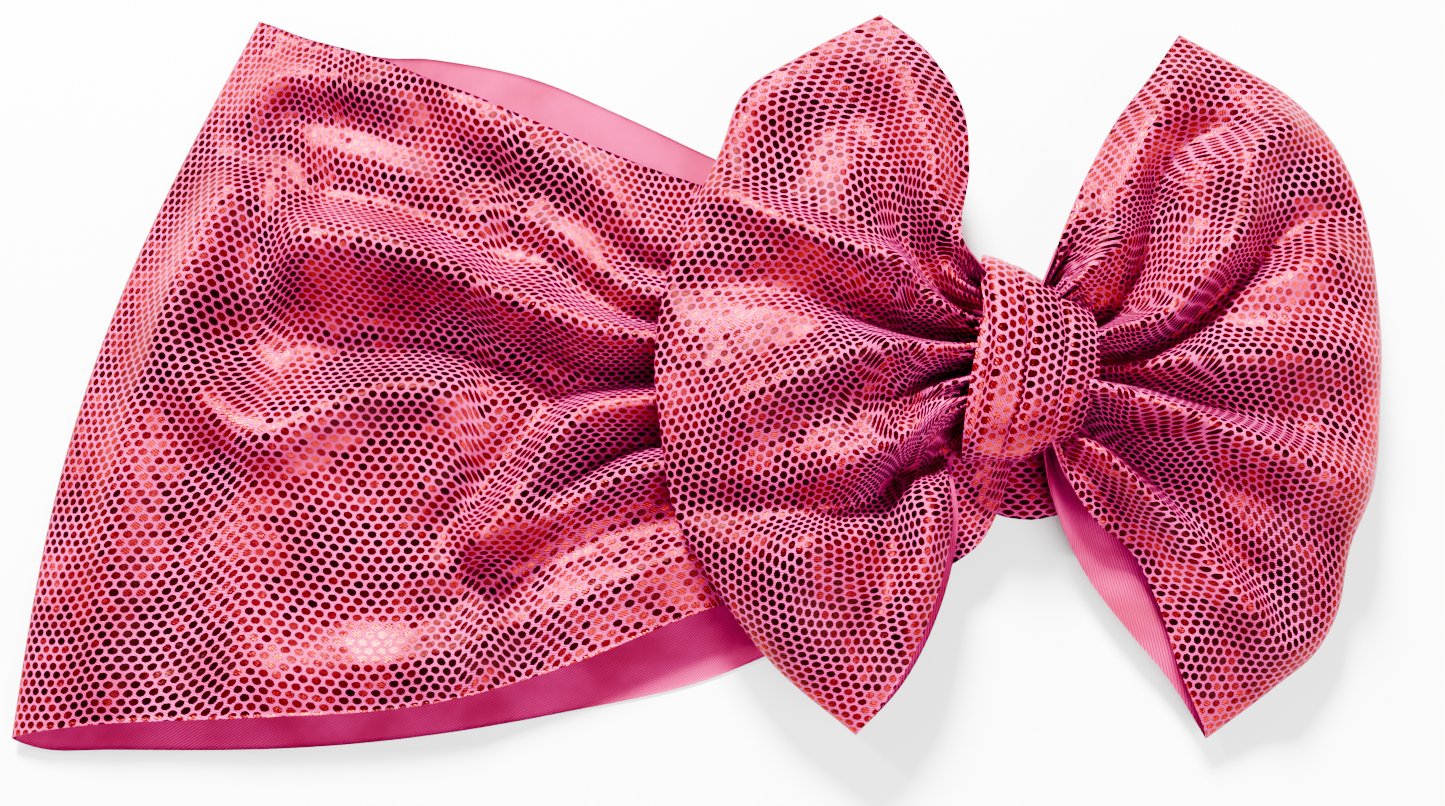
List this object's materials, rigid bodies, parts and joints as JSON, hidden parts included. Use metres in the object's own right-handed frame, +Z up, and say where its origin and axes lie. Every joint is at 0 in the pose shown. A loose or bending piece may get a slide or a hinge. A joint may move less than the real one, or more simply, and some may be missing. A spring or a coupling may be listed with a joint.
{
  "type": "bow headwrap",
  "caption": "Wide stretch headwrap in foil-dot knit with a large gathered bow and pleated centre wrap, lying flat.",
  "frame": {"origin": "centre of the footprint, on the table", "axes": "+X from the band's nape fold to the bow, +Y across the band, +Z up"},
  "size_m": [0.2756, 0.1514, 0.0297],
  "materials": {
    "foil_knit": "pink stretch knit, foil dots outside, plain satin inside",
    "pink_thread": "matte sewing thread"
  },
  "bodies": {
    "headwrap": {"headwrap_band": "foil_knit", "band_seam_thread": "pink_thread", "centre_wrap": "foil_knit", "wrap_seam_thread": "pink_thread", "bow_waist": "foil_knit", "gathering_thread": "pink_thread", "bow_seam_thread": "pink_thread"},
    "left_wing": {"bow_wing_left": "foil_knit"},
    "right_wing": {"bow_wing_right": "foil_knit"}
  },
  "joints": [
    {"name": "left_wing_flex", "type": "hinge", "parent": "headwrap", "child": "left_wing", "pos_m": [0.05247, 0.00218, 0.0244], "axis": [0, 1, 0], "range_deg": [0, 40]},
    {"name": "right_wing_flex", "type": "hinge", "parent": "headwrap", "child": "right_wing", "pos_m": [0.07807, 0.00218, 0.0244], "axis": [0, -1, 0], "range_deg": [0, 40]}
  ]
}
